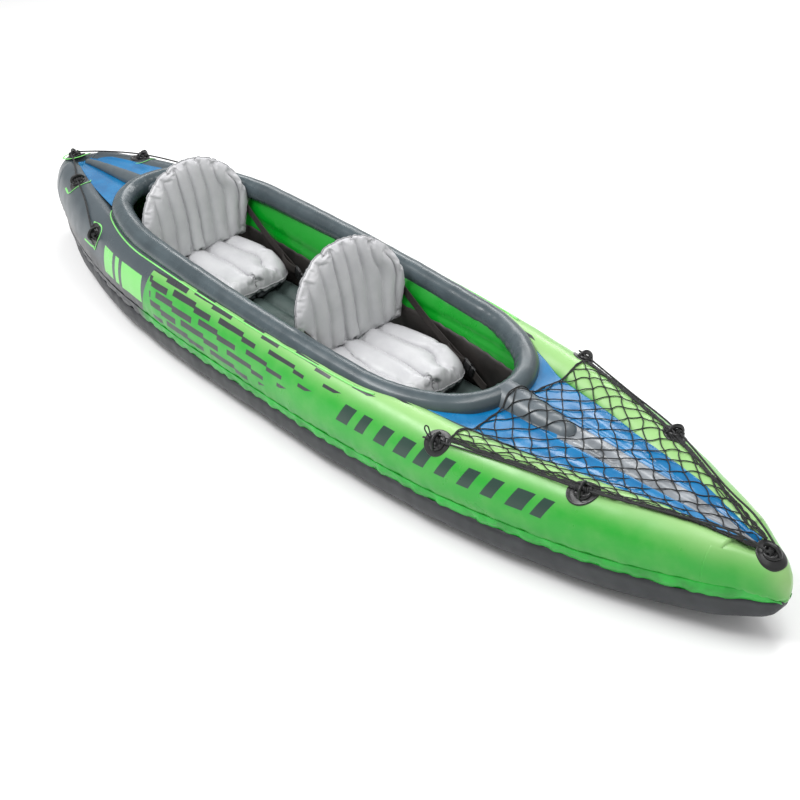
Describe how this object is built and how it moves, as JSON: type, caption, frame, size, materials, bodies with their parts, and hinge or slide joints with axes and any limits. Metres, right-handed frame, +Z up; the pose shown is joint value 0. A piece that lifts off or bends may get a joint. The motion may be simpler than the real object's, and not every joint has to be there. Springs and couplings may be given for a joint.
{
  "type": "inflatable kayak",
  "caption": "Open two-seat inflatable kayak with side chambers, ribbed floor, raised cockpit rim, folding backrests, bow cargo net and grab line.",
  "frame": {"origin": "middle of the overall box in plan, at the level of the ground it rests on", "axes": "+X towards the bow, +Y to port, +Z up"},
  "size_m": [3.51, 0.7602, 0.5495],
  "materials": {
    "side_green": "welded vinyl, soft gloss",
    "stern_grey": "welded vinyl, soft gloss",
    "bottom_charcoal": "heavy vinyl, satin",
    "floor_slate": "vinyl, satin",
    "coaming_slate": "welded vinyl, soft gloss",
    "deck_blue": "stretched vinyl, soft gloss",
    "deck_grey": "stretched vinyl, soft gloss",
    "seat_grey": "flocked vinyl, satin",
    "seat_panel_dark": "vinyl, satin",
    "webbing": "woven webbing",
    "buckle_black": "moulded",
    "valve_grey": "moulded",
    "stopper_clear": "soft moulded vinyl",
    "fitting_black": "moulded",
    "cord_black": "braided cord",
    "net_black": "knotted net",
    "skeg_black": "moulded"
  },
  "bodies": {
    "hull": {"bow_cone": "side_green", "bow_fitting_port_1": "fitting_black", "bow_fitting_port_2": "fitting_black", "bow_fitting_starboard_1": "fitting_black", "bow_fitting_starboard_2": "fitting_black", "bow_fitting_tip": "fitting_black", "cargo_net": "net_black", "coaming_ring": "coaming_slate", "deck_cord": "cord_black", "floor_chamber": "floor_slate", "floor_valve_base": "valve_grey", "foredeck_panel": "deck_blue", "foredeck_strip": "deck_grey", "foredeck_wedge": "deck_grey", "front_port_buckle_socket": "buckle_black", "front_port_lower_webbing": "webbing", "front_port_upper_webbing": "webbing", "front_seat_cushion": "seat_grey", "front_starboard_buckle_socket": "buckle_black", "front_starboard_lower_webbing": "webbing", "front_starboard_upper_webbing": "webbing", "hull_bottom": "bottom_charcoal", "port_chamber": "side_green", "port_valve_base": "valve_grey", "rear_port_buckle_socket": "buckle_black", "rear_port_lower_webbing": "webbing", "rear_port_upper_webbing": "webbing", "rear_seat_cushion": "seat_grey", "rear_starboard_buckle_socket": "buckle_black", "rear_starboard_lower_webbing": "webbing", "rear_starboard_upper_webbing": "webbing", "reardeck_beam": "deck_grey", "reardeck_panel": "deck_blue", "skeg_base": "skeg_black", "starboard_chamber": "side_green", "starboard_valve_base": "valve_grey", "stern_cone": "stern_grey", "stern_fitting_port_1": "fitting_black", "stern_fitting_port_2": "fitting_black", "stern_fitting_starboard_1": "fitting_black", "stern_fitting_starboard_2": "fitting_black", "stern_fitting_tip": "fitting_black", "stern_line": "cord_black"},
    "front_backrest": {"front_backrest_pad": "seat_grey", "front_back_panel": "seat_panel_dark"},
    "front_backrest_stopper": {"front_backrest_stopper": "stopper_clear"},
    "front_cushion_stopper": {"front_cushion_stopper": "stopper_clear"},
    "front_starboard_buckle_clip": {"front_starboard_buckle_clip": "buckle_black"},
    "front_port_buckle_clip": {"front_port_buckle_clip": "buckle_black"},
    "rear_backrest": {"rear_backrest_pad": "seat_grey", "rear_back_panel": "seat_panel_dark"},
    "rear_backrest_stopper": {"rear_backrest_stopper": "stopper_clear"},
    "rear_cushion_stopper": {"rear_cushion_stopper": "stopper_clear"},
    "rear_starboard_buckle_clip": {"rear_starboard_buckle_clip": "buckle_black"},
    "rear_port_buckle_clip": {"rear_port_buckle_clip": "buckle_black"},
    "coaming_stopper": {"coaming_stopper": "stopper_clear"},
    "starboard_valve_cap": {"starboard_valve_cap": "valve_grey"},
    "port_valve_cap": {"port_valve_cap": "valve_grey"},
    "floor_valve_cap": {"floor_valve_cap": "valve_grey"}
  },
  "joints": [
    {"name": "front_backrest_fold", "type": "hinge", "parent": "hull", "child": "front_backrest", "pos_m": [0.1, 0, 0.2248], "axis": [0, 1, 0], "range_deg": [0, 76], "deforming": ["front_starboard_upper_webbing", "front_port_upper_webbing"]},
    {"name": "front_backrest_stopper_pull", "type": "slide", "parent": "front_backrest", "child": "front_backrest_stopper", "axis": [-0.9848, 0, -0.1736], "range_m": [0, 0.02]},
    {"name": "front_cushion_stopper_pull", "type": "slide", "parent": "hull", "child": "front_cushion_stopper", "axis": [-1, 0, 0], "range_m": [0, 0.02]},
    {"name": "front_starboard_buckle_clip_slide", "type": "slide", "parent": "hull", "child": "front_starboard_buckle_clip", "axis": [0.9321, 0.1194, -0.342], "range_m": [0, 0.035], "deforming": ["front_starboard_lower_webbing"]},
    {"name": "front_port_buckle_clip_slide", "type": "slide", "parent": "hull", "child": "front_port_buckle_clip", "axis": [0.9321, -0.1194, -0.342], "range_m": [0, 0.035], "deforming": ["front_port_lower_webbing"]},
    {"name": "rear_backrest_fold", "type": "hinge", "parent": "hull", "child": "rear_backrest", "pos_m": [-0.77, 0, 0.2248], "axis": [0, 1, 0], "range_deg": [0, 84], "deforming": ["rear_starboard_upper_webbing", "rear_port_upper_webbing"]},
    {"name": "rear_backrest_stopper_pull", "type": "slide", "parent": "rear_backrest", "child": "rear_backrest_stopper", "axis": [-0.9848, 0, -0.1736], "range_m": [0, 0.02]},
    {"name": "rear_cushion_stopper_pull", "type": "slide", "parent": "hull", "child": "rear_cushion_stopper", "axis": [-1, 0, 0], "range_m": [0, 0.02]},
    {"name": "rear_starboard_buckle_clip_slide", "type": "slide", "parent": "hull", "child": "rear_starboard_buckle_clip", "axis": [0.9321, 0.1194, -0.342], "range_m": [0, 0.035], "deforming": ["rear_starboard_lower_webbing"]},
    {"name": "rear_port_buckle_clip_slide", "type": "slide", "parent": "hull", "child": "rear_port_buckle_clip", "axis": [0.9321, -0.1194, -0.342], "range_m": [0, 0.035], "deforming": ["rear_port_lower_webbing"]},
    {"name": "coaming_stopper_pull", "type": "slide", "parent": "hull", "child": "coaming_stopper", "axis": [1, 0, 0], "range_m": [0, 0.024]},
    {"name": "starboard_valve_cap_hinge", "type": "hinge", "parent": "hull", "child": "starboard_valve_cap", "pos_m": [-0.93, -0.1642, 0.17969], "axis": [-1, 0, 0], "range_deg": [0, 110]},
    {"name": "port_valve_cap_hinge", "type": "hinge", "parent": "hull", "child": "port_valve_cap", "pos_m": [-0.93, 0.1642, 0.22369], "axis": [-1, 0, 0], "range_deg": [0, 110]},
    {"name": "floor_valve_cap_hinge", "type": "hinge", "parent": "hull", "child": "floor_valve_cap", "pos_m": [-1.022, 0, 0.1326], "axis": [0, -1, 0], "range_deg": [0, 110]}
  ]
}
